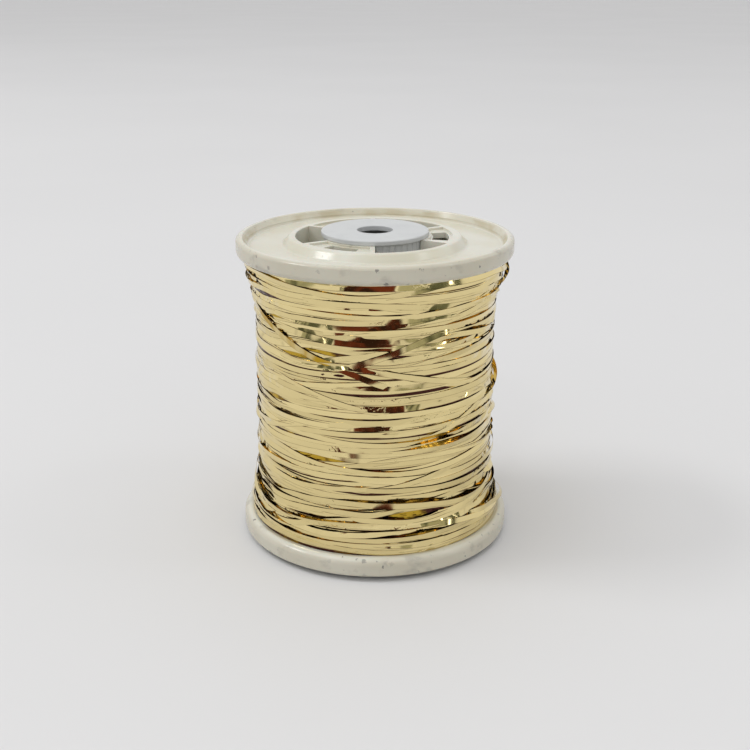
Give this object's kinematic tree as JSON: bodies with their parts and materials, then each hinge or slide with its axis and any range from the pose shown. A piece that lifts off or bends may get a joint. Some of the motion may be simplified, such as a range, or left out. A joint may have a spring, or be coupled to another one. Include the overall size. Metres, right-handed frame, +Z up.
{
  "type": "spool of thread",
  "caption": "Flanged plastic spool wound with flat gold metallic foil thread, with a push-in spindle adapter at each end.",
  "frame": {"origin": "centre of the lower adapter's face, on the surface the spool stands on", "axes": "+Z up along the spool's axis; +X through the middle of one box spoke; -Y towards the usual viewer"},
  "size_m": [0.08, 0.08, 0.0914],
  "materials": {
    "cream_plastic": "moulded, glossy, slightly yellowed, scuffed at the rims",
    "gray_plastic": "moulded, satin",
    "gold_foil": "metallised polyester film, mirror gold",
    "clear_tape": "adhesive tape"
  },
  "bodies": {
    "spool": {"upper_flange": "cream_plastic", "lower_flange": "cream_plastic", "barrel": "cream_plastic", "foil_winding": "gold_foil", "start_tape": "clear_tape"},
    "upper_adapter": {"upper_adapter": "gray_plastic"},
    "lower_adapter": {"lower_adapter": "gray_plastic"}
  },
  "joints": [
    {"name": "upper_adapter_pull", "type": "slide", "parent": "spool", "child": "upper_adapter", "axis": [0, 0, 1], "range_m": [0, 0.018]},
    {"name": "lower_adapter_pull", "type": "slide", "parent": "spool", "child": "lower_adapter", "axis": [0, 0, -1], "range_m": [0, 0.018]}
  ]
}
